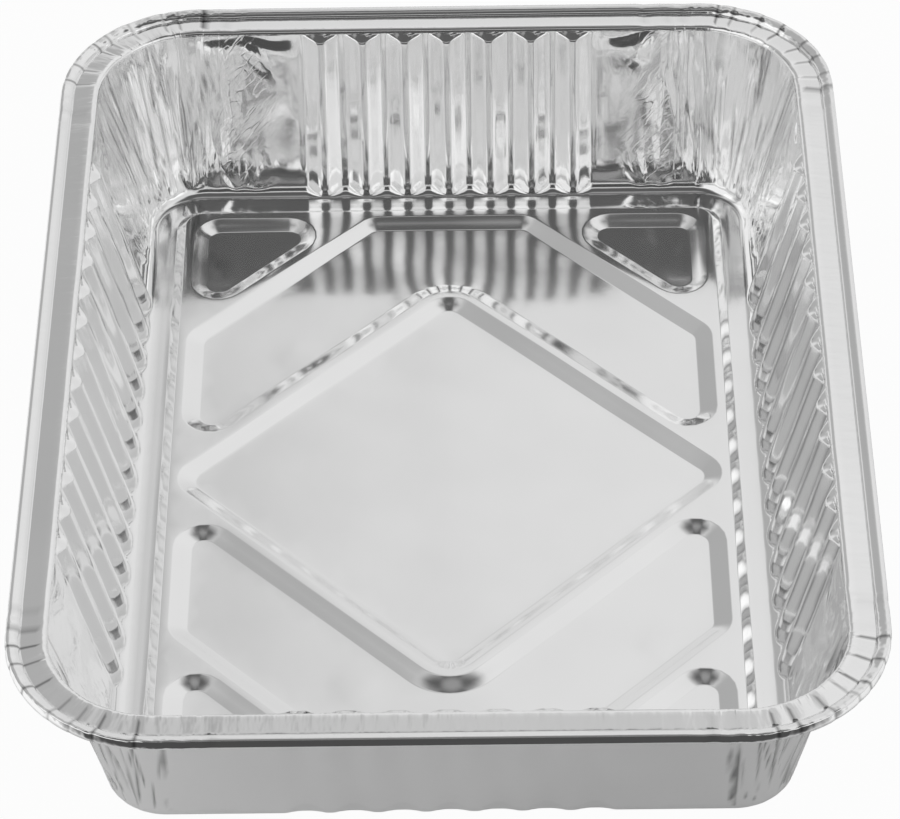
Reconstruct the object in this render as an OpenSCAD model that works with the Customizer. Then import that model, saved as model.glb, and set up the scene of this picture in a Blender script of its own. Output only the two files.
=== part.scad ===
// Foil roasting pan, pressed from one sheet of aluminium foil.
// Lengths are in millimetres. The pan stands on z = 0, centred on the origin,
// with its length along Y. Its section is described as the path that the
// middle of the foil takes, from the floor out to the rolled edge, and that
// path is carried round the pan.

/* [Pan] */
// Length over the rolled edge
pan_l = 350; // [320:1:370]
// Width over the rolled edge
pan_w = 265; // [240:1:300]
// Height from the table to the top of the rolled edge
pan_h = 63; // [50:1:75]
// Radius of the corners, outside the rolled edge
corner_r = 46; // [44:1:50]
// Thickness of the pressed sheet
foil_t = 0.5; // [0.4:0.05:0.6]

/* [Rim] */
// Outside diameter of the rolled edge
roll_d = 4.4; // [3.8:0.1:5]
// How far round the foil is rolled, in degrees
roll_turn = 290; // [240:5:300]
// Steepness of the foil where it climbs into the roll, in degrees
roll_rise = 85; // [70:1:90]
// Width of the flange between the lip and the roll
flange_w = 6.6; // [5:0.1:8]
// Drop of the flange from the lip to the roll
flange_drop = 0.9; // [0:0.1:1.5]
// Radius of the lip, where the wall turns over into the flange
lip_r = 1.5; // [1:0.1:2.5]
// Depth of the pleats pressed into the flange at the corners
pleat_d = 0.5; // [0.2:0.05:0.7]

/* [Wall] */
// Lean of the wall from the upright, in degrees
wall_lean = 13.5; // [11:0.5:15]
// Radius between the wall and the floor
foot_r = 4.5; // [3.5:0.1:6]
// Folds gathered into each corner
gathers = 8; // [5:1:9]
// Depth of the corner folds
gather_d = 1.3; // [0.6:0.1:1.8]

/* [Flutes] */
// Distance from one flute to the next
flute_pitch = 14.7; // [14.5:0.1:16]
// Flutes in each long wall
side_flutes = 13; // [9:1:13]
// Flutes in each short wall
end_flutes = 7; // [5:1:9]
// How far a flute stands in from the plain wall
flute_d = 2.7; // [1.5:0.1:3.5]
// Width of a flute's flat crest
crest_w = 2.4; // [1.5:0.1:3]
// Width of each sloping side of a flute
flank_w = 5; // [4:0.1:5.2]
// Plain wall between a flute and the lip
flute_head = 0.8; // [0.5:0.1:2]
// Plain wall between a flute and the foot radius
flute_foot = 0.5; // [0.3:0.1:2]
// Height over which a flute runs out at its head
head_runout = 4; // [3:0.1:6]
// Height over which a flute runs out at its foot
foot_runout = 2.2; // [1.5:0.1:4]

/* [Floor] */
// Height of the pressed ribs over the floor
rib_h = 2; // [1.2:0.1:2.6]
// Width of a rib's flat top
rib_w = 3; // [2.4:0.1:3.6]
// Width of the sloping side of a panel
slope_w = 5.4; // [4:0.1:6]
// Width of the slope from the ribs out to the ring
step_w = 3; // [2:0.1:4]
// Width of the flat ring that the pan stands on
ring_w = 6.2; // [5:0.1:8]
// Radius in the corners of a panel, at the floor
panel_r = 2.5; // [2:0.1:4]
// Reach of the middle panel towards the ends, to the edge of its rib
diamond_reach = 89; // [80:1:94]
// Width of the two bent panels, across an arm
bent_w = 34; // [28:0.5:36]

/* [Hidden] */
foil_colour = [0.86, 0.87, 0.87];
// Facets round a panel's corner, and along an arc of the section
panel_fn = 20;
arc_steps = 3;
roll_steps = 8;
// How far the walls' sheet runs in over the ribs' sheet
lap = 2;
// Centres of the rounded corners, shared by every line of the section
mid_x = pan_w / 2 - corner_r;
mid_y = pan_l / 2 - corner_r;

// A point of the section starts with its distance out from the corner
// centres, its height and its direction of travel. After them come whether
// the flutes reach it, and what share of a flute, a corner fold and a flange
// pleat it carries
function out(p) = p[0];
function height(p) = p[1];
function travel(p) = p[2];
function fluted(p) = p[3];
function carry(points, folds) = [for (p = points) concat(p, folds)];

// An arc about c, from one direction of travel to another. A path that turns
// right has the centre on its right
function turn(c, r, from, to, steps) =
    let (s = sign(from - to))
    [for (i = [0 : steps])
        let (a = from + (to - from) * i / steps)
        [c[0] - s * r * sin(a), c[1] + s * r * cos(a), a]];

// Rolled edge, and the valley where the flange climbs into it
roll_r = (roll_d - foil_t) / 2;
roll_u = corner_r - roll_d / 2;
roll_c = [roll_u, pan_h - roll_d / 2];
valley_u = roll_u - roll_r * sin(roll_rise);
valley_z = roll_c[1] + roll_r * cos(roll_rise);
// Lip and flange
flange_tilt = atan(flange_drop / flange_w);
valley = [valley_u, valley_z, (roll_rise - flange_tilt) / 2];
lip_c = [
    valley_u - flange_w - lip_r * sin(flange_tilt),
    valley_z + flange_drop - lip_r * cos(flange_tilt)];
roll = turn(roll_c, roll_r, roll_rise, roll_rise - roll_turn, roll_steps);
// Wall, from the lip down to the radius at its foot
wall_a = 90 - wall_lean;
lip = turn(lip_c, lip_r, wall_a, -flange_tilt, arc_steps);
foot_z = foil_t / 2 + foot_r * (1 - cos(wall_a));
function on_wall(z) = [out(lip[0]) - (height(lip[0]) - z) / tan(wall_a), z, wall_a];
foot_c = [out(on_wall(foot_z)) - foot_r * sin(wall_a), foil_t / 2 + foot_r];
foot = turn(foot_c, foot_r, 0, wall_a, arc_steps);
flute_low = foot_z + flute_foot;
flute_high = height(lip[0]) - flute_head;
// Floor: the ring that the pan stands on, then the slope up to the ribs
ring_u = out(foot_c) - ring_w;
ribs_u = ring_u - step_w;
crease_a = -atan(rib_h / step_w) / 2;
ribs_edge = [
    [ribs_u - lap, rib_h + foil_t / 2, 0],
    [ribs_u, rib_h + foil_t / 2, crease_a],
    [ring_u, foil_t / 2, crease_a]];

section = concat(
    carry(ribs_edge, [false, 0, 0, 0]),
    carry([foot[0], foot[1]], [false, 0, 0, 0]),
    carry([foot[2], foot[3]], [false, 0, 0.4, 0]),
    carry([on_wall(flute_low)], [true, 0, 0.7, 0]),
    carry([on_wall(flute_low + foot_runout)], [true, 1, 1, 0]),
    carry([on_wall(flute_high - head_runout)], [true, 1, 1, 0]),
    carry([on_wall(flute_high)], [true, 0, 0.7, 0]),
    carry([lip[0], lip[1]], [false, 0, 0.3, 0.2]),
    carry([lip[2], lip[3], valley], [false, 0, 0, 1]),
    carry([for (i = [1 : roll_steps]) roll[i]], [false, 0, 0, 0]));

// The two faces of the foil lie half its thickness to the left and to the
// right of the path, and together they close the section
function face(p, side) = concat(
    [out(p) - side * sin(travel(p)) * foil_t / 2],
    [height(p) + side * cos(travel(p)) * foil_t / 2],
    [for (i = [2 : 6]) p[i]]);
outline = concat(
    [for (p = section) face(p, 1)],
    [for (i = [len(section) - 1 : -1 : 0]) face(section[i], -1)]);

// A stop on the way round the pan is [side, distance along it, turn into the
// corner, share of a flute, share of a fold, its number among corner stops].
// Sides 0 to 3 are right, back, left and front
corner_stops = 2 * gathers + 1;
function across(side) = side % 2 == 0 ? mid_x : mid_y;
function along(side) = side % 2 == 0 ? mid_y : mid_x;
function flutes_on(side) = side % 2 == 0 ? side_flutes : end_flutes;
function flute_stops(side) =
    [for (i = [0 : flutes_on(side) - 1], k = [-1.5 : 1 : 1.5])
        let (
            crest = abs(k) < 1,
            at = (i - (flutes_on(side) - 1) / 2) * flute_pitch
                + sign(k) * (crest_w / 2 + (crest ? 0 : flank_w)),
            near = at < 0 ? side * corner_stops - 1 : side * corner_stops)
        [side, at, 0, crest ? 1 : 0, 0, (near + 4 * corner_stops) % (4 * corner_stops)]];
function turn_stops(side) =
    [for (i = [0 : corner_stops - 1])
        [side, along(side), 90 * i / (corner_stops - 1), 0, i % 2, side * corner_stops + i]];
stops = [for (side = [0 : 3]) each concat(flute_stops(side), turn_stops(side))];
turns = [for (side = [0 : 3]) each turn_stops(side)];

// Where the line of the section through p meets a stop
function place(p, s) =
    let (
        u = out(p) - flute_d * p[4] * s[3] - gather_d * p[5] * s[4],
        z = height(p) - pleat_d * p[6] * s[4],
        x = across(s[0]) + u * cos(s[2]),
        y = s[1] + u * sin(s[2]),
        c = cos(90 * s[0]),
        d = sin(90 * s[0]))
    [x * c - y * d, x * d + y * c, z];

// Lines of the section that cross no flute have only the corner stops. A
// flute stop on such a line stands for the nearest one of them
function line_count(p) = fluted(p) ? len(stops) : len(turns);
line_start = [for (j = 0, n = 0; j <= len(outline);
    n = n + (j < len(outline) ? line_count(outline[j]) : 0), j = j + 1) n];
function number(j, i) =
    let (line = j % len(outline), stop = i % len(stops))
    line_start[line] + (fluted(outline[line]) ? stop : stops[stop][5]);

// Wall, rim and standing ring: the closed section carried round the pan
module wall_sheet() {
    points = [for (p = outline) each [for (s = fluted(p) ? stops : turns) place(p, s)]];
    faces = [for (j = [0 : len(outline) - 1], i = [0 : len(stops) - 1])
        let (
            a = number(j, i),
            b = number(j, i + 1),
            c = number(j + 1, i + 1),
            d = number(j + 1, i))
        each [if (a != b && b != c) [a, b, c], if (a != d && d != c) [a, c, d]]];
    polyhedron(points, faces);
}

// Floor pattern. Panels are named by the centres of their rounded corners,
// and d is a distance from the middle of the pan, square to the diamond's side
panel_edge_r = panel_r + slope_w;
panel_x = mid_x + ribs_u - rib_w - panel_edge_r;
panel_y = mid_y + ribs_u - rib_w - panel_edge_r;
diamond_y = diamond_reach - panel_edge_r;
diamond_side = norm([panel_x, diamond_y]);
diamond_d = panel_x * diamond_y / diamond_side;
function diagonal_x(y, d) = (d * diamond_side - panel_x * y) / diamond_y;
function diagonal_y(x, d) = (d * diamond_side - diamond_y * x) / panel_x;
// Foot of the diamond's rib on its outer side, and the far side of the panels
// that bend round it
bent_near_d = diamond_d + panel_edge_r + rib_w + slope_w;
bent_far_d = bent_near_d + bent_w;
corner_d = bent_far_d + 2 * slope_w + rib_w + panel_r;

// Rounded form with sloping sides, from the floor up to the ribs
module pressing(centres, low_r, high_r) {
    hull() {
        for (c = centres) {
            translate(c) cylinder(h = rib_h, r1 = low_r, r2 = high_r, $fn = panel_fn);
        }
    }
}

module diamond(low_r, high_r) {
    pressing([[panel_x, 0], [0, diamond_y], [-panel_x, 0], [0, -diamond_y]], low_r, high_r);
}

// Panel that bends round one end of the diamond
module bent_panel() {
    low_y = diagonal_y(panel_x, bent_near_d + panel_r);
    high_y = diagonal_y(panel_x, bent_far_d - panel_r);
    end_x = diagonal_x(panel_y, bent_far_d - panel_r);
    right = [[panel_x, low_y], [panel_x, high_y], [end_x, panel_y]];
    left = [for (c = right) [-c[0], c[1]]];
    difference() {
        pressing(concat(right, left), panel_r, panel_edge_r);
        diamond(panel_edge_r + rib_w + slope_w, panel_edge_r + rib_w);
    }
}

module corner_panel() {
    pressing([
        [panel_x, panel_y],
        [panel_x, diagonal_y(panel_x, corner_d)],
        [diagonal_x(panel_y, corner_d), panel_y]], panel_r, panel_edge_r);
}

// Everything below the underside of the pressed floor
module floor_form() {
    rib_line = carry([[ribs_u - lap / 2, 0, 0]], [false, 0, 0, 0])[0];
    rim = [for (s = turns) let (q = place(rib_line, s)) [q[0], q[1]]];
    difference() {
        translate([0, 0, -rib_h]) linear_extrude(2 * rib_h) polygon(rim);
        diamond(panel_r, panel_edge_r);
        for (end = [0, 1]) {
            rotate(180 * end) bent_panel();
            rotate(180 * end) corner_panel();
            rotate(180 * end) mirror([1, 0, 0]) corner_panel();
        }
    }
}

// Ribs and panels: the sheet between the form and the same form one
// thickness higher
module floor_sheet() {
    difference() {
        translate([0, 0, foil_t]) floor_form();
        floor_form();
    }
}

module pan() {
    color(foil_colour) union() {
        wall_sheet();
        floor_sheet();
    }
}

pan();
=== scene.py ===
# %% [markdown]
# # A foil roasting pan
# The real pan is one sheet of thin aluminium, pressed between two tools in a
# single stroke. Everything that gives it its look is a shape in that sheet:
# ribs and sunk panels in the floor, flutes in the walls, gathers where the
# spare foil bunches up at the corners, and a rolled edge.
# So the pan is one mesh here too. Lengths are worked out in millimetres and
# turned into metres when the mesh is made.

import math

import bmesh
import bpy
import numpy as np
from mathutils import Matrix, Vector
from mathutils.geometry import delaunay_2d_cdt


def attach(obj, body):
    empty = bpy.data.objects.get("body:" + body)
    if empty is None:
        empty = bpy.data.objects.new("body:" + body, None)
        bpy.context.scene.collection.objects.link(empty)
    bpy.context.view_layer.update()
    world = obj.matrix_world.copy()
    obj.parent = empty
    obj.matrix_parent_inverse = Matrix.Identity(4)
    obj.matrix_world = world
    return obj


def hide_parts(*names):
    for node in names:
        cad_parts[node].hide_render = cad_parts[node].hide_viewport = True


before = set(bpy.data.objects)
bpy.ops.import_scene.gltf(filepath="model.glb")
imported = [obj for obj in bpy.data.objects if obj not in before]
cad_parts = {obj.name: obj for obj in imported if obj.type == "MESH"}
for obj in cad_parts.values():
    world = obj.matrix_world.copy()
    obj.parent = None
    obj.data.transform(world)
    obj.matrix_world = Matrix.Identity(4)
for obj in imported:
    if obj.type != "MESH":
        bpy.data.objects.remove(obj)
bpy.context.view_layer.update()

# %% [markdown]
# ## Sizes
# The sizes are those of the CAD part. Only the foil is thinner: the CAD solid
# needs sound walls, while a picture wants the sheet to look as thin as it is.

# %% Sizes of the pan, in millimetres
MM = 0.001
PAN_L, PAN_W, PAN_H = 350.0, 265.0, 63.0
CORNER_R = 46.0
FOIL_T = 0.3
ROLL_D, ROLL_TURN, ROLL_RISE = 4.4, 300.0, 85.0
FLANGE_W, FLANGE_DROP, LIP_R = 6.6, 0.9, 1.5
WALL_A = 90 - 13.5
FOOT_R = 4.5
PITCH, CREST_W, FLANK_W, FLUTE_D = 14.7, 2.4, 5.0, 2.7
SIDE_FLUTES, END_FLUTES = 13, 7
RIB_H, RIB_W, SLOPE_W = 2.0, 3.0, 5.4
RING_W, STEP_W = 6.2, 3.0
PANEL_R, DIAMOND_REACH, BENT_W = 4.5, 89.0, 34.0
MID_X, MID_Y = PAN_W / 2 - CORNER_R, PAN_L / 2 - CORNER_R
print("corner centres at", MID_X, MID_Y)

# %% [markdown]
# ## The section of the foil
# A cut across the rim shows the path that the foil takes: up from the ribs'
# level over the ring that the pan stands on, up the leaning wall, over the
# lip, down the flange and round the rolled edge. Each point of the path is a
# distance out from the corner centres and a height.


# %% Arcs and soft ramps
def rad(a):
    """Degrees to radians."""
    return np.radians(a)


def arc(centre, r, start, end, steps):
    """Points on an arc about centre, as the direction of travel turns from
    start to end degrees: centre + r * (-sin, cos) when turning right, and the
    opposite when turning left."""
    s = math.copysign(1, start - end)
    a = rad(np.linspace(start, end, steps + 1))
    return np.c_[centre[0] - s * r * np.sin(a), centre[1] + s * r * np.cos(a)]


def soft_above(x, w):
    """max(x, 0) whose corner is rounded over x = -w..w by a parabola."""
    return np.where(x < -w, 0, np.where(x > w, x, (x + w) ** 2 / (4 * w)))


def ramp(x, w=0.08):
    """0 below x = 0, x between 0 and 1, and 1 above, with both corners rounded."""
    return soft_above(x, w) - soft_above(x - 1, w)


def smooth(x):
    """The smoothstep curve 3x^2 - 2x^3, held at 0 and 1 outside 0..1."""
    x = np.clip(x, 0, 1)
    return x * x * (3 - 2 * x)


# %% The rolled edge, the lip and the foot, worked out from the sizes
ROLL_LEAN = 0.75
ROLL_R = (ROLL_D - FOIL_T) / 2
ROLL_U = CORNER_R - ROLL_D / 2
VALLEY_U = ROLL_U - ROLL_R * np.sin(rad(ROLL_RISE))
TILT = math.degrees(math.atan(FLANGE_DROP / FLANGE_W))
ROLL_C = (ROLL_U, PAN_H - ROLL_D / 2)
VALLEY_Z = ROLL_C[1] + ROLL_R * np.cos(rad(ROLL_RISE))
LIP_C = (VALLEY_U - FLANGE_W - LIP_R * np.sin(rad(TILT)),
         VALLEY_Z + FLANGE_DROP - LIP_R * np.cos(rad(TILT)))
lip = arc(LIP_C, LIP_R, WALL_A, -TILT, 5)
roll = arc(ROLL_C, ROLL_R, ROLL_RISE, ROLL_RISE - ROLL_TURN, 17)
# the roll leans out: its upper half is pushed outwards, most above its middle
turned = (roll - ROLL_C) / ROLL_R
turned[:, 0] += ROLL_LEAN * (1 - np.abs(turned[:, 0])) * np.maximum(turned[:, 1], 0)
roll = ROLL_C + ROLL_R * turned
FOOT_Z = FOIL_T / 2 + FOOT_R * (1 - np.cos(rad(WALL_A)))
FOOT_U = lip[0, 0] - (lip[0, 1] - FOOT_Z) / np.tan(rad(WALL_A)) - FOOT_R * np.sin(rad(WALL_A))
foot = arc((FOOT_U, FOIL_T / 2 + FOOT_R), FOOT_R, 0, WALL_A, 7)
RING_U = FOOT_U - RING_W
RIBS_U = RING_U - STEP_W
WALL_TOP = lip[0, 1]


def on_wall(z):
    """Distance out of the plain leaning wall at height z."""
    return lip[0, 0] - (WALL_TOP - z) / np.tan(rad(WALL_A))


# %% Lines of the section and the part of the pan that each belongs to
slope_at = np.array([-0.09, -0.04, 0, 0.04, 0.5, 0.96, 1, 1.04, 1.09])
band = [(RING_U - s * STEP_W, FOIL_T / 2 + RIB_H * float(ramp(s))) for s in slope_at[::-1]]
# the arches between the flutes are HEAD_H tall, and bend the lines down to HEAD_END
HEAD_H, HEAD_END = 2.3, 7.5
below_lip = [56.0, 54.3, 52, 48.5, 44, 38.5, 33, 27.5, 22, 17, 13, 10, HEAD_END, 5.2, 3.6, 2.7, HEAD_H, 1.9,
             1.1, 0.4]
flange = [lip[-1] + (np.array([VALLEY_U, VALLEY_Z]) - lip[-1]) * s for s in (0.25, 0.5, 0.75, 0.93)]
parts = {
    "band": band,
    "ring": [(RING_U + 2.0, FOIL_T / 2), (FOOT_U - 2.4, FOIL_T / 2)],
    "foot": list(foot),
    "wall": [(on_wall(WALL_TOP - d), WALL_TOP - d) for d in below_lip],
    "lip": list(lip),
    "flange": flange,
    "roll": list(roll),
}
section = np.array([p for points in parts.values() for p in points], dtype=float)
part_of = np.array([name for name, points in parts.items() for _ in points])
u_line, z_line = section.T
run = np.r_[0, np.cumsum(np.hypot(np.diff(u_line), np.diff(z_line)))]
print("section lines", len(section), "length of foil across it", round(run[-1], 1), "mm")

# %% [markdown]
# ## The way round the pan
# The section is carried round a rectangle with round corners. The stops lie
# close together where something happens, that is on the flutes and in the
# corners, and lines that cross no flute skip most of them.


# %% Stops along one side and through the corner after it
CORNER_STOPS, PLAIN_GAP = 73, 1.4
# distances from the middle of a crest to its edge, down the flank and to the hollow
FLUTE_STOPS = np.array([0, 0.9, 1.45, 2.5, 4.3, 5.8, 6.5])


def side_stops(side):
    """Rows of [side, distance along it, turn in degrees, kept by the rim,
    kept by the floor]."""
    long_side = side % 2 == 0
    half = MID_Y if long_side else MID_X
    count = SIDE_FLUTES if long_side else END_FLUTES
    offsets = np.r_[-PITCH / 2, -FLUTE_STOPS[:0:-1], FLUTE_STOPS]
    centres = (np.arange(count) - (count - 1) / 2) * PITCH
    at = (centres[:, None] + offsets[None, :]).ravel()
    at = np.r_[at, centres[-1] + PITCH / 2]
    kept = np.r_[np.tile(np.arange(len(offsets)) == 0, count), True]
    edge = at[-1]
    plain = np.linspace(edge, half, int((half - edge) / PLAIN_GAP) + 2)[1:-1]
    plain_kept = np.arange(len(plain)) % 2 == 0
    at = np.r_[-plain[::-1], at, plain]
    kept = np.r_[plain_kept[::-1], kept, plain_kept]
    turn = np.linspace(0, 90, CORNER_STOPS)
    straight = np.c_[np.full(len(at), side), at, 0 * at, kept, kept]
    n = len(turn)
    corner = np.c_[np.full(n, side), np.full(n, half), turn, np.ones(n), np.arange(n) % 2 == 0]
    return np.r_[straight, corner]


stops = np.concatenate([side_stops(s) for s in range(4)])
side, along, turn_a = stops[:, 0], stops[:, 1], stops[:, 2]
reach = np.where(side % 2 == 0, MID_X, MID_Y)
cos_s, sin_s = np.cos(rad(90 * side)).round(12), np.sin(rad(90 * side)).round(12)
base = np.c_[reach * cos_s - along * sin_s, reach * sin_s + along * cos_s]
out = np.c_[np.cos(rad(turn_a + 90 * side)), np.sin(rad(turn_a + 90 * side))]
print("stops round the pan", len(stops))

# %% [markdown]
# ## Flutes
# A flute is a ridge that stands in from the wall, with a narrow crest and two
# sloping sides. Between two ridges the hollow runs up to the lip and ends in
# a round arch, so the head of each ridge is left as a small sloping V. A
# displacement picture could press them in, but a formula gives each flank its
# exact width, and the lines of the mesh can follow the arches.


# %% Where each stop lies on its flute
flutes = np.where(side % 2 == 0, SIDE_FLUTES, END_FLUTES)
nearest = np.clip(np.round(along / PITCH + (flutes - 1) / 2), 0, flutes - 1)
off_crest = np.abs(along - (nearest - (flutes - 1) / 2) * PITCH)
straight = turn_a == 0
flank = np.where(straight, ramp((CREST_W / 2 + FLANK_W - off_crest) / FLANK_W, 0.07), 0)
from_hollow = np.clip((PITCH / 2 - off_crest) / (PITCH / 2 - CREST_W / 2), 0, 1)
past_flutes = smooth((off_crest - PITCH / 2) / 10)
ARCH_TOP = 0.45
arch = ARCH_TOP + (HEAD_H - ARCH_TOP) * np.maximum(1 - np.sqrt(1 - 0.99 * from_hollow**2), past_flutes)


# %% Bend the upper lines of the wall along the arches
def bent_lines(below):
    """Distance below the lip of each line at each stop. The line at HEAD_H
    moves to the arch, and the lines above and below it move in proportion."""
    b, to = np.array(below)[:, None], arch[None, :]
    under = to + (b - HEAD_H) * (HEAD_END - to) / (HEAD_END - HEAD_H)
    return np.where(b <= HEAD_H, b * to / HEAD_H, np.where(b < HEAD_END, under, b))


u_lines = np.repeat(u_line[:, None], len(stops), axis=1)
z_lines = np.repeat(z_line[:, None], len(stops), axis=1)
z_lines[part_of == "wall"] = WALL_TOP - bent_lines(below_lip)
u_lines[part_of == "wall"] = on_wall(z_lines[part_of == "wall"])
# depth of the flutes: flute depth * flank, fading to nothing from the arch up
# to the lip, and again round the foot
foot_share = smooth(np.linspace(-0.1, 1, len(foot)))
share = np.zeros((len(section), 1))
share[part_of == "foot", 0], share[part_of == "wall"] = foot_share, 1
flute = FLUTE_D * flank[None, :] * share * np.clip((WALL_TOP - z_lines) / arch[None, :], 0, 1)
print("flutes stand in by", round(flute.max(), 2), "mm")

# %% [markdown]
# ## Gathers, pleats and waves
# At a corner the sheet has more foil than it needs, and the tool folds the
# spare into creases: long sharp ones down the wall and short flat pleats on
# the flange. Cloth simulation would have to crush the whole sheet to find
# them, so they are drawn by chance here, each as a tent-shaped line, but with
# a fixed seed, so every run gives the same pan.

# %% Distance round each corner, and smooth random waves
chance = np.random.default_rng(11)
CORNER_MID = 28.0  # radius on which the distance round a corner is counted
CORNER_SPAN = rad(90) * CORNER_MID
half_side = np.where(side % 2 == 0, MID_Y, MID_X)
# the corner that a stop is nearest to, and the distance past its start
before = straight & (along < 0)
corner_no = np.where(before, (side + 3) % 4, side).astype(int)
past = np.where(
    straight,
    np.where(before, CORNER_SPAN + half_side + along, along - half_side),
    rad(turn_a) * CORNER_MID)


def waves(points, length, seed, count=7):
    """Sum of plane waves in random directions, about -1..1, whose wavelengths
    lie round the given length."""
    r = np.random.default_rng(seed)
    total = 0
    for _ in range(count):
        d = r.normal(size=points.shape[-1])
        d *= 2 * np.pi / (np.linalg.norm(d) * length * r.uniform(0.7, 1.4))
        total = total + np.sin(points @ d + r.uniform(0, 2 * np.pi))
    return total / math.sqrt(count / 2) / 1.6


# %% Creases down the corner walls
def crease(w, z, at, low, tall, lean, width):
    """A tent, 1 - distance / width, along the line at + lean * (z - low) / tall,
    fading out at both ends of the height it runs over."""
    x = np.abs(w - at - lean * (z - low) / tall) / width
    return np.clip(1 - x, 0, 1) * smooth((z - low) / (0.2 * tall)) * smooth((low + tall - z) / (0.3 * tall))


def corner_creases(z):
    """Inward depth of the gathers, and the painted shade that darkens the
    narrow creases: a few soft folds, long thin creases that fan out a little,
    short ones that cross each other at the foot, and a few beside the corner."""
    depth, crease_shade = np.zeros((2,) + z.shape)
    span = CORNER_SPAN
    for corner in range(4):
        mine = corner_no == corner
        w, zz = past[mine][None, :], z[:, mine]
        local, corner_shade = np.zeros((2,) + zz.shape)
        inside = smooth((w + 9) / 12) * smooth((span + 9 - w) / 12)
        for p in np.linspace(-3, span + 3, 9) + chance.normal(0, 1.2, 9):
            x = (w - p - chance.normal(0, 1.5) * (zz / 60 - 0.5)) / chance.uniform(1.8, 3.0)
            local += chance.uniform(0.10, 0.42) * np.exp(-x * x) * inside
        # rows of: place, lower end, height, lean, width and depth
        lines = []
        for _ in range(36):
            at = chance.uniform(-10, span + 10)
            fan = (at - span / 2) / span * 4 + chance.normal(0, 2.5)
            lines.append((at, chance.uniform(2, 40), chance.uniform(14, 42), fan, chance.uniform(0.7, 1.1),
                          chance.choice([-0.3, 0.45]) * chance.uniform(0.5, 1.3)))
        for _ in range(22):
            lines.append((chance.uniform(-8, span + 8), chance.uniform(0.5, 9), chance.uniform(5, 13),
                          chance.normal(0, 4.5), chance.uniform(0.8, 1.6), chance.uniform(-0.5, 0.8)))
        for end, away in [(0, -1), (span, 1)]:
            for _ in range(9):
                lines.append((end + away * chance.uniform(1, 13), chance.uniform(14, 44),
                              chance.uniform(5, 11), chance.normal(0, 3), chance.uniform(1.2, 1.8),
                              chance.choice([-0.25, 0.35])))
            for spread in (-9, -5, -1, 4, 8):
                lines.append((end + away * 15 + spread * 0.4, 0.5, chance.uniform(13, 21), spread, 2.2,
                              chance.uniform(0.4, 0.9)))
        for at, low, tall, lean, width, deep in lines:
            shape = crease(w, zz, at, low, tall, lean, width)
            local += deep * shape
            # painted shade: each narrow crease inside the corner darkens the foil's colour along its line
            shade_weight = chance.uniform(0.3, 1.2) * (width < 1.3) * (-2 < at < span + 2)
            corner_shade = np.maximum(corner_shade, np.minimum(shade_weight * shape**1.5, 0.9))
        depth[:, mine], crease_shade[:, mine] = local, corner_shade
    near_foot = smooth((z - 0.5) / 5)
    near_lip = 0.25 + 0.75 * smooth((WALL_TOP + 1.5 - z) / 9)
    return np.clip(depth, -0.3, 1.7) * near_foot * near_lip, crease_shade * near_foot


def shoulders(z):
    """Inward depth of the soft shoulders that the foil forms under the lip,
    between the last flute and the corner: two leaf shapes, steep on their tops
    and pointed at their ends. The second falls more steeply to the flutes."""
    off = np.abs(along) - flutes * PITCH / 2 - 11
    below = WALL_TOP - z - 0.24 * np.clip(8 - off, 0, 18)[None, :]
    size = 0.8 + 0.3 * np.sin(3 * side + np.sign(along))
    leaf = size * np.exp(-((off / 7.5) ** 2)) * straight
    rise = 1.2 + 2 * np.exp(-((off / 6) ** 2))
    under = WALL_TOP - z - 2 - 0.85 * np.clip(8 - off, 0, 14)[None, :]
    narrow = (1.1 - 0.5 * size) * np.exp(-(((off - 3) / 4.5) ** 2)) * straight
    return (leaf[None, :] * smooth(below / rise[None, :]) * smooth((15 - below) / 12)
            + narrow[None, :] * smooth(under / 2) * smooth((8 - under) / 7))


# %% Pleats across the flange and the rolled edge
def pleat_height():
    """Height lost by each stop on the flange, and where its folds are, as soft
    bumps and as thin lines of painted shade. Between two folds the flange falls
    away slowly, and at the fold it steps back up."""
    drop, fold, line = np.zeros((3, len(stops)))
    span = CORNER_SPAN
    for corner in range(4):
        mine = corner_no == corner
        w = past[mine]
        places = np.r_[-17, -9.5, np.linspace(-2, span + 2, 9), span + 9.5, span + 17]
        places = np.sort(places + chance.normal(0, 0.9, len(places)))
        places = w[np.abs(w[:, None] - places[None, :]).argmin(axis=0)]
        local, mark, thin = np.zeros((3, mine.sum()))
        for a, b in zip(places[:-1], places[1:]):
            t = (w - a) / (b - a)
            deep = chance.uniform(0.25, 0.55)
            local += np.where((t >= 0) & (t < 1), deep * t * smooth((1 - t) / 0.16), 0)
        for a in places:
            mark += chance.uniform(0.4, 1) * np.exp(-(((w - a) / 0.65) ** 2))
            # painted shade: a thin dark line along each fold, weaker outside the corner
            thin[np.abs(w - a) < 1e-6] = chance.uniform(0.45, 1) * (0.15 if a < -2 or a > span + 2 else 1)
        ends = smooth((w + 22) / 5) * smooth((span + 22 - w) / 5)
        drop[mine], fold[mine], line[mine] = local * ends, mark * ends, thin * ends
    return drop, fold, line


pleat, fold_mark, fold_shade_line = pleat_height()
creases, crease_shade = corner_creases(z_lines)
print("deepest crease", round(creases.max(), 2), "mm, deepest pleat", round(pleat.max(), 2), "mm")

# %% [markdown]
# ## The sheet from the ribs out to the rolled edge
# All the displacements are added to the section, line by stop, and that gives
# the middle of the foil as one grid. The two faces of the foil lie half its
# thickness to each side, along the grid's own normals.

# %% The middle of the foil as a grid of lines by stops
is_part = {name: (part_of == name)[:, None] for name in parts}
inward = flute + creases * (is_part["foot"] | is_part["wall"] | is_part["lip"]) + shoulders(
    z_lines) * is_part["wall"]
# the share of the pleats that each line of the rim takes
rim_rows = (is_part["flange"] | is_part["roll"] | is_part["lip"]).astype(float)
rim_rows[part_of == "lip"] = np.array([0, 0, 0.25, 0.5, 0.8, 1])[:, None]
rim_rows[part_of == "roll"] = np.linspace(1, 0.35, len(roll))[:, None]

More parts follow.
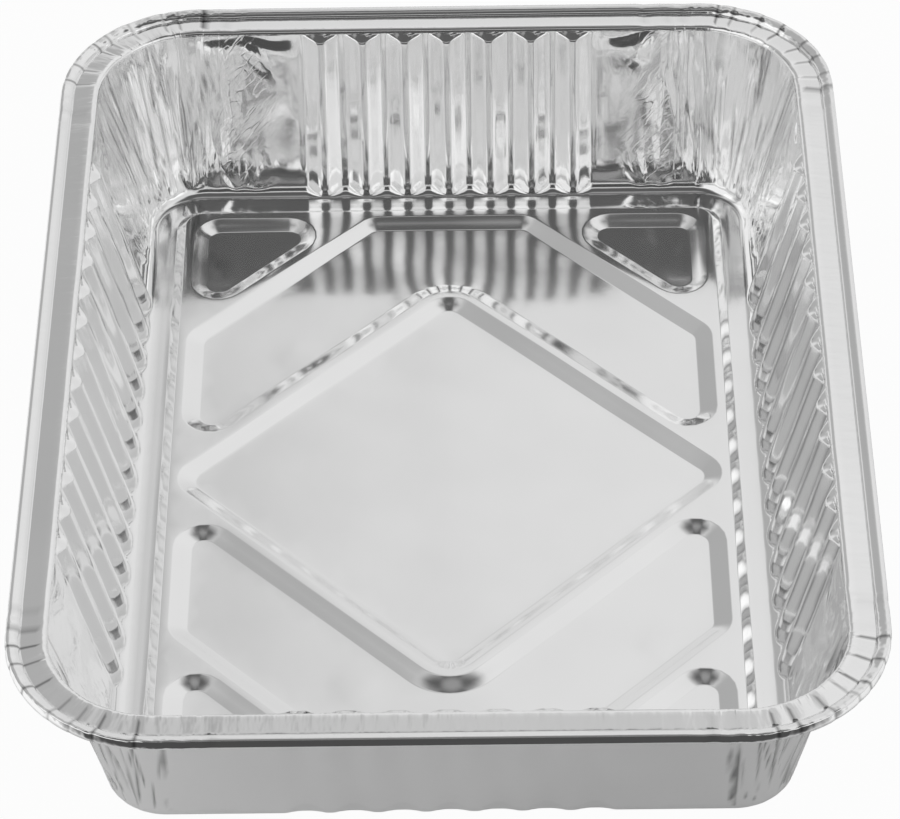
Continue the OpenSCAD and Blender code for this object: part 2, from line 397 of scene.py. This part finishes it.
u_grid = u_lines - inward - 0.22 * fold_mark[None, :] * is_part["roll"]
z_grid = z_lines - pleat[None, :] * rim_rows - 0.26 * fold_mark[None, :] * rim_rows
middle = np.empty(u_grid.shape + (3,))
middle[..., :2] = base[None] + u_grid[..., None] * out[None]
middle[..., 2] = z_grid


def floor_wave(xy):
    """Slow unevenness of the pressed floor, never below the level it rests on."""
    return 0.22 + 0.13 * waves(xy, 64, 5) + 0.04 * waves(xy, 28, 6)


wave_share = np.zeros(len(section))
wave_share[part_of == "band"] = smooth(np.linspace(1.3, 0, len(band)))
middle[..., 2] += wave_share[:, None] * floor_wave(middle[..., :2])
sway = 0.09 * waves(middle, 42, 21) + 0.04 * waves(middle, 15, 22)
plain = 0.30 * waves(middle, 24, 23) * (smooth((off_crest - PITCH / 2) / 4) * straight)[None, :]
push = (sway - 0.13) * (is_part["wall"] | is_part["lip"]) * smooth((z_grid - 3) / 8)
push = push + (plain - 0.3 * (off_crest > PITCH / 2)[None, :] * straight) * is_part["wall"] * smooth(
    (z_grid - 3) / 10) * smooth((WALL_TOP - z_grid) / 6)
middle[..., :2] += push[..., None] * out[None]


# %% Both faces of the foil
def faces_of(grid, thickness):
    """Upper and lower face: grid +- thickness / 2 along the normal, which is the
    cross product of the differences round the pan and along the section."""
    round_pan = np.roll(grid, -1, axis=1) - np.roll(grid, 1, axis=1)
    along_section = np.gradient(grid, axis=0)
    normal = np.cross(along_section, round_pan)
    normal /= np.linalg.norm(normal, axis=2, keepdims=True)
    return grid + normal * thickness / 2, grid - normal * thickness / 2


upper, lower = faces_of(middle, FOIL_T)
print("upper face reaches", upper.reshape(-1, 3).min(0).round(2), upper.reshape(-1, 3).max(0).round(2))

# %% Numbers of the points that each line keeps
kept_by = {"band": stops[:, 4] > 0, "ring": stops[:, 4] > 0, "foot": stops[:, 4] >= 0,
           "wall": stops[:, 4] >= 0, "lip": stops[:, 3] > 0, "flange": stops[:, 3] > 0,
           "roll": stops[:, 3] > 0}


def line_numbers(line_parts):
    """For every line and stop, the number of the point that stands for it, and
    the rows and columns of the grid that are kept."""
    numbers, rows, cols, start = [], [], [], 0
    for row, name in enumerate(line_parts):
        kept = kept_by[name]
        chosen = np.flatnonzero(kept)
        rank = np.cumsum(kept) - 1
        numbers.append(start + np.where(rank < 0, len(chosen) - 1, rank))
        rows.append(np.full(len(chosen), row))
        cols.append(chosen)
        start += len(chosen)
    return np.array(numbers), np.concatenate(rows), np.concatenate(cols)


numbers, rows, cols = line_numbers(part_of)
per_face = len(rows)


def strips(top, bottom):
    """Two triangles for each cell between two lines of numbers, without those
    that have lost a side because a line skips the stop."""
    a, b = top, np.roll(top, -1)
    d, c = bottom, np.roll(bottom, -1)
    tri = np.concatenate([np.c_[a, d, c], np.c_[a, c, b]])
    same = (tri[:, 0] == tri[:, 1]) | (tri[:, 1] == tri[:, 2]) | (tri[:, 0] == tri[:, 2])
    return tri[~same]


upper_tris = np.concatenate([strips(numbers[j], numbers[j + 1]) for j in range(len(section) - 1)])
lower_tris = upper_tris[:, ::-1] + per_face
edge_tris = strips(numbers[-1], numbers[-1] + per_face)
wall_points = np.concatenate([upper[rows, cols], lower[rows, cols]])
wall_tris = np.concatenate([upper_tris, lower_tris, edge_tris])
print("walls and rim:", len(wall_points), "points,", len(wall_tris), "triangles")

# %% [markdown]
# ## The pressed floor
# Seven panels are sunk into the floor and leave a net of flat ribs between
# them. A panel is a polygon with round corners. Its sloping side is a grid,
# with one loop of points for each distance from the polygon, and the flat
# areas between the loops are filled with triangles. One grid over the whole
# floor would need many more triangles to give the slopes such clean edges.

# %% Polygons of the panels
EDGE_R = PANEL_R + SLOPE_W
PANEL_X = MID_X + RIBS_U - RIB_W - EDGE_R
PANEL_Y = MID_Y + RIBS_U - RIB_W - EDGE_R
DIAMOND_Y = DIAMOND_REACH - EDGE_R
DIAMOND_SIDE = math.hypot(PANEL_X, DIAMOND_Y)
DIAMOND_D = PANEL_X * DIAMOND_Y / DIAMOND_SIDE
BENT_NEAR = DIAMOND_D + EDGE_R + RIB_W + SLOPE_W
BENT_FAR = BENT_NEAR + BENT_W
CORNER_D = BENT_FAR + 2 * SLOPE_W + RIB_W + PANEL_R


def at_x(y, d):
    """x where the line at distance d, parallel to the diamond's side, has y."""
    return (d * DIAMOND_SIDE - PANEL_X * y) / DIAMOND_Y


def at_y(x, d):
    """y where that line has x."""
    return (d * DIAMOND_SIDE - DIAMOND_Y * x) / PANEL_X


low_y, high_y = at_y(PANEL_X, BENT_NEAR + PANEL_R), at_y(PANEL_X, BENT_FAR - PANEL_R)
end_x = at_x(PANEL_Y, BENT_FAR - PANEL_R)
# the inner side of a bent panel turns round the tip of the diamond's rib
notch_r = EDGE_R + RIB_W + SLOPE_W + PANEL_R
tip = math.degrees(math.atan2(PANEL_X, DIAMOND_Y))
notch_a = rad(np.linspace(90 + tip, 90 - tip, 13))
notch = np.c_[notch_r * np.cos(notch_a), DIAMOND_Y + notch_r * np.sin(notch_a)]
diamond = np.array([[PANEL_X, 0], [0, DIAMOND_Y], [-PANEL_X, 0], [0, -DIAMOND_Y]])
bent = np.r_[[[PANEL_X, low_y], [PANEL_X, high_y], [end_x, PANEL_Y], [-end_x, PANEL_Y],
              [-PANEL_X, high_y], [-PANEL_X, low_y]], notch]
corner = np.array([[PANEL_X, PANEL_Y], [at_x(PANEL_Y, CORNER_D), PANEL_Y],
                   [PANEL_X, at_y(PANEL_X, CORNER_D)]])
mirror_x = np.array([-1, 1])
panels = [diamond, bent, -bent, corner, -corner, (corner * mirror_x)[::-1], -(corner * mirror_x)[::-1]]


# %% Loops round a polygon
def loop_round(polygon, r, arc_steps=7, spacing=7.0):
    """Outline at distance r: an outer corner becomes an arc about the corner,
    and at an inner corner the two offset sides meet."""
    ahead = np.roll(polygon, -1, axis=0) - polygon
    length = np.linalg.norm(ahead, axis=1)
    square = np.c_[ahead[:, 1], -ahead[:, 0]] / length[:, None]
    loop = []
    for i, p in enumerate(polygon):
        n0, n1 = square[i - 1], square[i]
        bend = n0[0] * n1[1] - n0[1] * n1[0]
        if bend > 0:
            a0 = math.atan2(n0[1], n0[0])
            a = a0 + np.linspace(0, math.atan2(bend, n0 @ n1), arc_steps + 1)
            loop.append(p + r * np.c_[np.cos(a), np.sin(a)])
        else:
            loop.append((p + r * (n0 + n1) / (1 + n0 @ n1))[None])
        pieces = int(length[i] / spacing)
        if pieces > 1:
            t = (np.arange(1, pieces) / pieces)[:, None]
            loop.append(p + r * n1 + t * ahead[i])
    return np.concatenate(loop)


def distance_to(points, polygon):
    """Signed distance to a polygon, negative inside."""
    a, b = polygon, np.roll(polygon, -1, axis=0)
    ab, ap = b - a, points[:, None, :] - a[None]
    t = np.clip((ap * ab).sum(2) / (ab * ab).sum(1), 0, 1)
    near = np.linalg.norm(ap - t[..., None] * ab, axis=2).min(1)
    x, y = points[:, :1], points[:, 1:]
    crosses = (a[:, 1] > y) != (b[:, 1] > y)
    rise = np.where(b[:, 1] == a[:, 1], 1e-12, b[:, 1] - a[:, 1])
    left = x < a[:, 0] + (y - a[:, 1]) * ab[:, 0] / rise
    inside = (crosses & left).sum(1) % 2 == 1
    return np.where(inside, -near, near)


# places of a few small dents in the floor, with their heights and radii
dents = [(-52.0, 62.5, 0.55, 3.0), (52.0, 63.0, 0.5, 2.6), (-47.0, 52.0, 0.22, 5.0),
         (66.0, -78.0, 0.4, 2.6), (-30.0, -96.0, 0.3, 5.0), (35.0, 20.0, 0.10, 14.0)]


def floor_height(points):
    """Ribs' height, less the depth of whichever panel the point is in, with
    the slow waves and a few dents."""
    z = np.full(len(points), RIB_H)
    for polygon in panels:
        z = np.minimum(z, RIB_H * ramp((distance_to(points, polygon) - PANEL_R) / SLOPE_W))
    for x, y, deep, size in dents:
        z = z + deep * np.exp(-((points[:, 0] - x) ** 2 + (points[:, 1] - y) ** 2) / size**2)
    return z + FOIL_T / 2 + floor_wave(points)


# %% Sloping sides of the panels, and points for the flat areas
levels = PANEL_R + SLOPE_W * slope_at
slope_points, slope_tris, loops, count = [], [], [], 0
for polygon in panels:
    grid = np.array([loop_round(polygon, r) for r in levels])
    n = grid.shape[1]
    ids = count + np.arange(grid.shape[0] * n).reshape(grid.shape[0], n)
    slope_points.append(grid.reshape(-1, 2))
    slope_tris += [strips(ids[k], ids[k + 1]) for k in range(len(levels) - 1)]
    loops += [ids[0], ids[-1]]
    count += grid.size // 2
slope_points = np.concatenate(slope_points)
rim_loop = middle[0, kept_by["band"], :2]
loops.append(count + np.arange(len(rim_loop)))
points = np.concatenate([slope_points, rim_loop])

# a lattice of shaken points over the flat areas, so that they can wave a little
STEP, HALF_X, HALF_Y, EDGE_GAP = 5.5, 99.0, 143.0, 1.9
gx, gy = np.meshgrid(np.arange(-HALF_X, HALF_X + 0.1, STEP), np.arange(-HALF_Y, HALF_Y + 0.1, STEP))
lattice = np.c_[gx.ravel() + STEP / 2 * (np.round(gy.ravel() / STEP) % 2), gy.ravel()]
lattice = lattice + np.random.default_rng(3).uniform(-0.8, 0.8, lattice.shape)
rim_polygon = np.array([[MID_X, MID_Y], [-MID_X, MID_Y], [-MID_X, -MID_Y], [MID_X, -MID_Y]])
clear = distance_to(lattice, rim_polygon) < RIBS_U - EDGE_GAP
for polygon in panels:
    d = distance_to(lattice, polygon)
    clear &= (d < levels[0] - 1.5) | (d > levels[-1] + 0.5)
points = np.concatenate([points, lattice[clear]])
print("floor: points on slopes", len(slope_points), "and in flat areas", int(clear.sum()))

# %% Fill the flat areas between the loops
sides = [(int(a), int(b)) for loop in loops for a, b in zip(loop, np.roll(loop, -1))]
flat = delaunay_2d_cdt([Vector(p) for p in points], sides, [], 1, 1e-7)
filled = np.array([list(v) for v in flat[0]])
fill_tris = np.array([t for t in flat[2] if len(t) == 3])
centre = filled[fill_tris].mean(axis=1)
keep = np.ones(len(fill_tris), dtype=bool)
for polygon in panels:
    d = distance_to(centre, polygon)
    keep &= (d < levels[0]) | (d > levels[-1])
fill_tris = fill_tris[keep] + len(slope_points)
floor_xy = np.concatenate([slope_points, filled])
floor_tris = np.concatenate(slope_tris + [fill_tris])
p0, p1, p2 = (floor_xy[floor_tris[:, k]] for k in range(3))
area = (p1[:, 0] - p0[:, 0]) * (p2[:, 1] - p0[:, 1]) - (p1[:, 1] - p0[:, 1]) * (p2[:, 0] - p0[:, 0])
floor_tris = np.where(area[:, None] < 0, floor_tris[:, ::-1], floor_tris)
floor_z = floor_height(floor_xy)
floor_upper = np.c_[floor_xy, floor_z + FOIL_T / 2]
floor_lower = np.c_[floor_xy, floor_z - FOIL_T / 2]
print("floor:", len(floor_xy), "points and", len(floor_tris), "triangles a face")

# %% [markdown]
# ## One mesh
# Walls and floor share the points where they meet, so they are merged into a
# single closed sheet. Each point also keeps where it lies round the pan and
# along the section, because the finest wrinkles follow those directions.

# %% Put the pan together
floor_start = len(wall_points)
all_points = np.concatenate([wall_points, floor_upper, floor_lower]) * MM
all_tris = np.concatenate([wall_tris, floor_tris + floor_start,
                           floor_tris[:, ::-1] + floor_start + len(floor_xy)])
ROUND_AT = 35.0  # distance out from the corner centres at which the way round is measured
way_round = base + ROUND_AT * out
length_round = np.r_[0, np.cumsum(np.linalg.norm(np.diff(way_round, axis=0), axis=1))]


def new_mesh(name, points, tris):
    """A mesh object made from arrays of points and triangles."""
    mesh = bpy.data.meshes.new(name)
    mesh.vertices.add(len(points))
    mesh.vertices.foreach_set("co", points.astype(np.float32).ravel())
    mesh.loops.add(tris.size)
    mesh.loops.foreach_set("vertex_index", tris.astype(np.int32).ravel())
    mesh.polygons.add(len(tris))
    mesh.polygons.foreach_set("loop_start", np.arange(0, tris.size, 3, dtype=np.int32))
    mesh.update(calc_edges=True)
    mesh.validate()
    mesh.shade_smooth()
    obj = bpy.data.objects.new(name, mesh)
    bpy.context.collection.objects.link(obj)
    return obj


pan = new_mesh("foil_pan", all_points, all_tris)


# %% Values that the finish reads from each point
def point_values(obj, name, values):
    """Stores one number for each point, which the material reads by its name."""
    layer = obj.data.attributes.new(name, "FLOAT", "POINT")
    layer.data.foreach_set("value", values.astype(np.float32))


both = np.r_[cols, cols]
rows2 = np.r_[rows, rows]
nothing = np.zeros(2 * len(floor_xy))
# the way round is kept as a point on a circle as long as the rim, so that the
# pattern made from it closes without a seam; the second circle is turned more
# and more up the foil, which slants the pattern
rim_length = length_round[-1] + np.linalg.norm(way_round[-1] - way_round[0])
for name, slant in [("round", 0.0), ("slant", 0.7)]:
    angle = (length_round[both] + slant * run[rows2]) * 2 * np.pi / rim_length
    point_values(pan, name + "_x", np.r_[rim_length / (2 * np.pi) * np.cos(angle), nothing])
    point_values(pan, name + "_y", np.r_[rim_length / (2 * np.pi) * np.sin(angle), nothing])
point_values(pan, "along_foil", np.r_[run[rows2], nothing])
part_rows = part_of[rows2]
REACH = 14.0  # how far the gathers run on past the corner
near_corner = smooth((past + REACH) / 10) * smooth((CORNER_SPAN + REACH - past) / 10)
beside_corner = np.exp(-(((past + REACH) / 7) ** 2)) + np.exp(-(((past - CORNER_SPAN - REACH) / 7) ** 2))
point_values(pan, "gathered", np.r_[near_corner[both], nothing])
point_values(pan, "crinkled", np.r_[beside_corner[both] * (part_rows == "wall"), nothing])
for name, members in [("wall", ["wall", "lip"]), ("flange", ["flange", "lip"]), ("rolled", ["roll"])]:
    point_values(pan, name, np.r_[np.isin(part_rows, members).astype(float), nothing])
# painted shade on the flange's fold lines and the wall's narrow creases, which the material darkens
folded = np.where(np.isin(part_of, ["flange", "roll"])[:, None], fold_shade_line[None, :],
                  crease_shade * (part_of == "wall")[:, None])
point_values(pan, "folded", np.r_[folded[rows2, both], nothing])
point_values(pan, "floor", np.r_[np.isin(part_rows, ["band", "ring"]).astype(float), nothing + 1])

# %% Merge the shared points
MERGE = 3e-5
bm = bmesh.new()
bm.from_mesh(pan.data)
was = len(bm.verts)
bmesh.ops.remove_doubles(bm, verts=bm.verts, dist=MERGE)
open_edges = sum(1 for e in bm.edges if len(e.link_faces) != 2)
bm.to_mesh(pan.data)
bm.free()
print("merged", was - len(pan.data.vertices), "points; open edges", open_edges)
print("the pan has", len(pan.data.polygons), "triangles")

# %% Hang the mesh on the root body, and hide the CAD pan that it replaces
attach(pan, "root")
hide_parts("pan")


# %% [markdown]
# ## Shader maths
# Nodes are wired in Python. A small class wraps a socket, so that an
# expression such as 1 - mask * 0.5 adds its own Math nodes.

# %% A socket that can be added, multiplied and compared
class Wire:
    """One value in a node tree."""

    def __init__(self, tree, socket):
        self.tree, self.socket = tree, socket

    def _with(self, operation, *values):
        return self.tree.node("ShaderNodeMath", {"operation": operation}, list(values))[0]

    def __add__(self, other):
        return self._with("ADD", self, other)

    def __radd__(self, other):
        return self._with("ADD", other, self)

    def __sub__(self, other):
        return self._with("SUBTRACT", self, other)

    def __rsub__(self, other):
        return self._with("SUBTRACT", other, self)

    def __mul__(self, other):
        return self._with("MULTIPLY", self, other)

    def __rmul__(self, other):
        return self._with("MULTIPLY", other, self)

    def __abs__(self):
        return self._with("ABSOLUTE", self)

    def above(self, other):
        """The larger of two values."""
        return self._with("MAXIMUM", self, other)

    def step(self, low, high):
        """0 below low, 1 above high and a smooth rise between."""
        return self.tree.node("ShaderNodeMapRange", {"interpolation_type": "SMOOTHSTEP"},
                              {"Value": self, "From Min": low, "From Max": high})[0]


class Tree:
    """A node tree that is filled by calls."""

    def __init__(self, owner):
        owner.use_nodes = True
        self.tree = owner.node_tree
        self.tree.nodes.clear()

    def node(self, kind, settings=None, values=None):
        """Adds one node: its settings first, then its inputs, by name or in
        order, each a number, a colour or a Wire. Returns its outputs."""
        made = self.tree.nodes.new(kind)
        for key, value in (settings or {}).items():
            if key == "stops":
                ramp_stops = made.color_ramp.elements
                while len(ramp_stops) < len(value):
                    ramp_stops.new(0.5)
                for stop, (at, shade) in zip(ramp_stops, value):
                    stop.position, stop.color = at, (shade, shade, shade, 1)
            else:
                setattr(made, key, value)
        pairs = values.items() if isinstance(values, dict) else enumerate(values or [])
        for key, value in pairs:
            socket = made.inputs[key]
            if isinstance(value, Wire):
                self.tree.links.new(value.socket, socket)
            else:
                socket.default_value = value
        return [Wire(self, s) for s in made.outputs]

    def named(self, kind, output, settings=None, values=None):
        """Adds one node and returns the output that has the given name."""
        outs = self.node(kind, settings, values)
        return next(w for w in outs if w.socket.name == output)


# %% [markdown]
# ## The foil's finish
# Rolled aluminium is a soft mirror. Its roughness wanders a little, and it is
# never quite flat: there are fine creases across the flange and long thin ones
# down the gathered corners. They are too fine for the mesh, so a Bump node
# tilts the surface for them, along directions that were stored in the points.

# %% Foil material
foil = bpy.data.materials.new("rolled_foil")
t = Tree(foil)


def value_of(name):
    """The number stored in the points under this name."""
    return t.named("ShaderNodeAttribute", "Fac", {"attribute_name": name})


place = t.named("ShaderNodeTexCoord", "Object")
along_foil = value_of("along_foil")
gathered, crinkled, on_wall_part, on_flange, rolled, on_floor = (
    value_of(n) for n in ("gathered", "crinkled", "wall", "flange", "rolled", "floor"))


def noise_at(vector, scale, detail):
    """Smooth noise about 0.5: scale sets how fine it is, detail adds finer noise."""
    return t.node("ShaderNodeTexNoise", {}, {"Vector": vector, "Scale": scale, "Detail": detail})[0]


def lines_at(vector, width):
    """Thin lines, 1 where the noise is close to its middle value and 0 away
    from it: they wander like creases and never cross."""
    return (1 - abs(noise_at(vector, 1.0, 1.0) * 2 - 1)).step(1 - width, 1.0)


def foil_place(x_scale, y_scale, way="round"):
    """Directions round the pan and along the foil, as a vector."""
    return t.node("ShaderNodeCombineXYZ", {}, [
        value_of(way + "_x") * x_scale, value_of(way + "_y") * x_scale, along_foil * y_scale])[0]


cloud = noise_at(place, 22.0, 2.0)
long_creases = lines_at(foil_place(0.24, 0.022), 0.12)
short_creases = lines_at(foil_place(0.26, 0.12, "slant"), 0.10)
cross_creases = noise_at(foil_place(0.30, 0.09), 1.0, 2.0)
mottle = noise_at(place, 260.0, 1.0)
fine = noise_at(place, 160.0, 2.0)

# heights of the fine wrinkles in millimetres
bumps = (on_wall_part * gathered * long_creases * 0.05 + crinkled * short_creases * 0.04
         + on_flange * cross_creases * 0.22
         + rolled * (gathered * mottle * 0.55 + cross_creases * 0.10)
         + fine * (1 - on_floor * 0.7) * 0.05)
normal = t.named("ShaderNodeBump", "Normal", {}, {"Strength": 0.8, "Distance": MM, "Height": bumps})
# the foil's shade is a pure grey, so it may pass through a Math node
shade = t.node("ShaderNodeValToRGB", {"stops": [(0.3, 0.89), (0.7, 0.93)]}, [cloud])[0]
# painted light: the walls and lip get a lighter colour than the floor, though they are the same foil
shade = shade + on_wall_part * 0.035
roughness = 0.055 + cloud * 0.07 + on_floor * 0.02
# painted shade: along the folds and narrow creases the colour is mixed towards dark grey, for the light
# that a closed fold traps
colour = t.node("ShaderNodeMix", {"data_type": "RGBA", "blend_type": "MIX"}, {
    "Factor": value_of("folded") * 0.85, 6: shade, 7: (0.12, 0.12, 0.12, 1)})[2]
bsdf = t.node("ShaderNodeBsdfPrincipled", {}, {
    "Base Color": colour, "Metallic": 1.0, "Roughness": roughness, "Normal": normal})
t.node("ShaderNodeOutputMaterial", {}, [bsdf[0]])
pan.data.materials.append(foil)
print("foil material has", len(t.tree.nodes), "nodes")

# %% [markdown]
# ## Camera
# The camera stands in front of the pan and looks down over its near side with
# a long lens, as the photograph does.

# %% Camera
PITCH_DOWN, YAW, SIDE_TILT = 42.771, -0.650, -1.118
CAMERA_AT = Vector((0.01212, -1.02497, 0.97998))
FOCAL_PX, PICTURE_W, SENSOR_W = 4289, 900, 36
pitch, yaw, side_tilt = rad(PITCH_DOWN), rad(YAW), rad(SIDE_TILT)
forward = Vector((np.sin(yaw) * np.cos(pitch), np.cos(yaw) * np.cos(pitch), -np.sin(pitch)))
right = Vector((np.cos(yaw), -np.sin(yaw), 0))
up = right.cross(forward)
right, up = (np.cos(side_tilt) * right + np.sin(side_tilt) * up,
             np.cos(side_tilt) * up - np.sin(side_tilt) * right)
camera = bpy.data.objects.new("camera", bpy.data.cameras.new("camera"))
turned_to = Matrix((right, up, -forward)).transposed().to_4x4()
camera.matrix_world = Matrix.Translation(CAMERA_AT) @ turned_to
camera.data.sensor_width = SENSOR_W
camera.data.lens = FOCAL_PX * SENSOR_W / PICTURE_W
bpy.context.collection.objects.link(camera)
bpy.context.scene.camera = camera
print("lens", round(camera.data.lens, 1), "mm")

# %% [markdown]
# ## Floor and world
# Metal has no look of its own: it shows what is around it. The pan stands on
# white paper in a light room that is dark overhead and low behind the camera.
# Close to the pan the paper stays matt, so that the foil shows the soft shadow
# that the pan stands in. A little further off it glows for mirrored rays too.
# The paper ends just in front of the pan, so that the front wall and the rolled
# edge above it mirror the darker part of the room.

# %% Stage floor
PAPER, NEAR_EDGE, PAPER_Z = 3.0, -0.205, -1e-4
paper_corners = [(x, y, PAPER_Z) for x, y in
                 [(-PAPER, NEAR_EDGE), (PAPER, NEAR_EDGE), (PAPER, PAPER), (-PAPER, PAPER)]]
floor_mesh = bpy.data.meshes.new("studio_floor")
floor_mesh.from_pydata(paper_corners, [], [(0, 1, 2, 3)])
studio_floor = bpy.data.objects.new("studio_floor", floor_mesh)
bpy.context.collection.objects.link(studio_floor)

# %% White paper that also shows in mirrored rays
paper = bpy.data.materials.new("white_paper")
t = Tree(paper)
seen, mirrored, through = (t.named("ShaderNodeLightPath", name) for name in (
    "Is Camera Ray", "Is Glossy Ray", "Is Transmission Ray"))
paper_x, paper_y, _ = t.node("ShaderNodeSeparateXYZ", {}, [t.named("ShaderNodeTexCoord", "Object")])
beyond_rim = (abs(paper_x) - PAN_W / 2 * MM).above(abs(paper_y) - PAN_L / 2 * MM)
glow = (0.10 - paper_x * 0.7).above(0.0) + beyond_rim.step(0.0, 0.08) * 0.8
share = seen * 0.96 + (mirrored + through) * glow
white = t.node("ShaderNodeEmission", {}, {"Color": (1, 1, 1, 1), "Strength": 1.0})[0]
matt = t.node("ShaderNodeBsdfDiffuse", {}, {"Color": (0.8, 0.8, 0.8, 1)})[0]
paper_look = t.node("ShaderNodeMixShader", {}, [share, matt, white])
t.node("ShaderNodeOutputMaterial", {}, [paper_look[0]])
floor_mesh.materials.append(paper)

# %% The room as a world, and directions in it
world = bpy.data.worlds.new("studio")
bpy.context.scene.world = world
t = Tree(world)
ray = t.named("ShaderNodeTexCoord", "Generated")


def patch(azimuth, elevation, size, soft):
    """1 within size degrees of a direction and 0 outside size + soft. Azimuth 0
    is towards +Y and 90 towards +X."""
    a, e = rad(azimuth), rad(elevation)
    axis = (float(np.sin(a) * np.cos(e)), float(np.cos(a) * np.cos(e)), float(np.sin(e)))
    along_axis = t.named("ShaderNodeVectorMath", "Value", {"operation": "DOT_PRODUCT"}, [ray, axis])
    return along_axis.step(float(np.cos(rad(size + soft))), float(np.cos(rad(size))))


# %% Soft light and dark areas of the room
ray_x, ray_y, ray_z = t.node("ShaderNodeSeparateXYZ", {}, [ray])
overhead = patch(180, 74, 20, 9).above(patch(0, 79, 5, 7))
overhead = overhead.above(patch(102, 78, 8, 14)).above(patch(-102, 78, 8, 14))
to_front = 0 - ray_y
behind_camera = (1 - abs(ray_x).step(0.14, 0.28)) * to_front.step(0.2, 0.5) * (1 - ray_z.step(0.62, 0.70))
low_front = to_front.step(0.25, 0.75) * (1 - ray_z.step(0.02, 0.20))
left_wall, right_wall = patch(-128, 34, 26, 12), patch(46, 60, 12, 30)
left_gap = patch(-40, 40, 17, 14)
right_front = patch(126, 17, 8, 12)
side_gaps = patch(-74, 26, 10, 14).above(patch(76, 26, 8, 12) * 0.6)
beyond_top = patch(0, 64, 4, 11)
left_glow, zenith = patch(-90, 41, 9, 5), patch(0, 88, 3, 7)
ROOM_LIGHT = 0.74
light = ROOM_LIGHT + left_wall * 0.22 + right_wall * 0.08 - left_gap * 0.30
light = light + left_glow * 0.26 + right_front * 0.34 - side_gaps * 0.26 - beyond_top * 0.22
light = light * (1 - overhead * (0.86 - zenith * 0.26)) * (1 - behind_camera.above(low_front) * 0.90)
seen = t.named("ShaderNodeLightPath", "Is Camera Ray")
sky = t.node("ShaderNodeBackground", {}, {"Color": (1, 1, 1, 1), "Strength": light.above(seen)})[0]
t.node("ShaderNodeOutputWorld", {}, [sky])
print("world has", len(t.tree.nodes), "nodes")

# %% Colours as they are written, and enough bounces between the walls
scene = bpy.context.scene
scene.view_settings.view_transform = "Standard"
scene.cycles.glossy_bounces = 6
